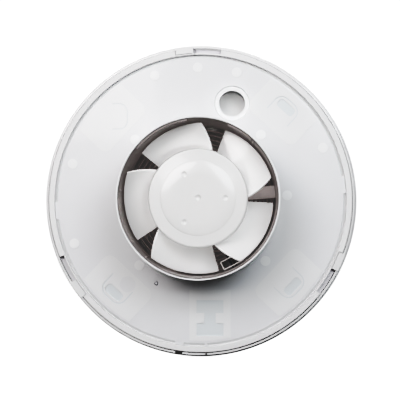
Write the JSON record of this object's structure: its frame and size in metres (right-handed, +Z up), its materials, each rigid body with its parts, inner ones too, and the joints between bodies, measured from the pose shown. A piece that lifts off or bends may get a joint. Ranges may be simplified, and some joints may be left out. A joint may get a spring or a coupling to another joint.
{
  "type": "axial exhaust fan",
  "caption": "Round wall or ceiling exhaust fan: short duct spigot, bladed impeller in a dark bore, and a closed round cover that turns off.",
  "frame": {"origin": "on the fan's axis, in the wall plane (the rear face of the body ring)", "axes": "+Y along the fan's axis into the room, -Y into the duct, +Z up, +X to the right as seen from the duct"},
  "size_m": [0.1968, 0.0659, 0.1968],
  "materials": {
    "plate_white": "glossy, slightly translucent",
    "body_white": "satin",
    "cover_white": "glossy",
    "impeller_white": "glossy",
    "dark_plastic": "glossy",
    "guard_plastic": "satin",
    "guide_white": "satin",
    "block_nylon": "satin",
    "bobbin_nylon": "satin",
    "washer_fibre": "matt",
    "lead_brown": "satin",
    "lead_blue": "satin",
    "zinc_steel": "zinc plated",
    "bracket_steel": "zinc plated",
    "shaft_steel": "ground",
    "lamination_steel": "punched laminations",
    "rotor_steel": "turned laminations",
    "cast_aluminium": "cast",
    "bush_bronze": "sintered",
    "contact_brass": "turned",
    "coil_copper": "enamelled copper wire"
  },
  "bodies": {
    "housing": {"back_plate": "plate_white", "chassis": "body_white", "motor_mount": "dark_plastic", "inlet_guard": "guard_plastic", "lead_guide": "guide_white", "rear_bush": "bush_bronze", "front_bush": "bush_bronze", "motor_rear_bracket": "bracket_steel", "motor_front_bracket": "bracket_steel", "stator_core": "lamination_steel", "coil_bobbin_1": "bobbin_nylon", "coil_bobbin_2": "bobbin_nylon", "coil_bobbin_3": "bobbin_nylon", "coil_bobbin_4": "bobbin_nylon", "stator_coil_1": "coil_copper", "stator_coil_2": "coil_copper", "stator_coil_3": "coil_copper", "stator_coil_4": "coil_copper", "mount_screw_1": "zinc_steel", "mount_screw_2": "zinc_steel", "mount_screw_3": "zinc_steel", "motor_screw_1": "zinc_steel", "motor_screw_2": "zinc_steel", "plate_screw": "zinc_steel", "terminal_cover_screw": "zinc_steel", "terminal_block": "block_nylon", "terminal_contact_1": "contact_brass", "terminal_contact_2": "contact_brass", "terminal_screw_1": "zinc_steel", "terminal_screw_2": "zinc_steel", "terminal_screw_3": "zinc_steel", "terminal_screw_4": "zinc_steel", "terminal_cover": "body_white", "lead_live": "lead_brown", "lead_neutral": "lead_blue"},
    "rotor": {"impeller": "impeller_white", "motor_shaft": "shaft_steel", "rotor_core": "rotor_steel", "rotor_end_ring_rear": "cast_aluminium", "rotor_end_ring_front": "cast_aluminium", "thrust_washer_rear": "washer_fibre", "thrust_washer_front": "washer_fibre"},
    "cover": {"front_cover": "cover_white"}
  },
  "joints": [
    {"name": "impeller_spin", "type": "hinge", "parent": "housing", "child": "rotor", "pos_m": [0, 0, 0], "axis": [0, 1, 0], "continuous": true},
    {"name": "cover_twist", "type": "hinge", "parent": "housing", "child": "cover", "pos_m": [0, 0, 0], "axis": [0, 1, 0], "range_deg": [0, 9]}
  ]
}
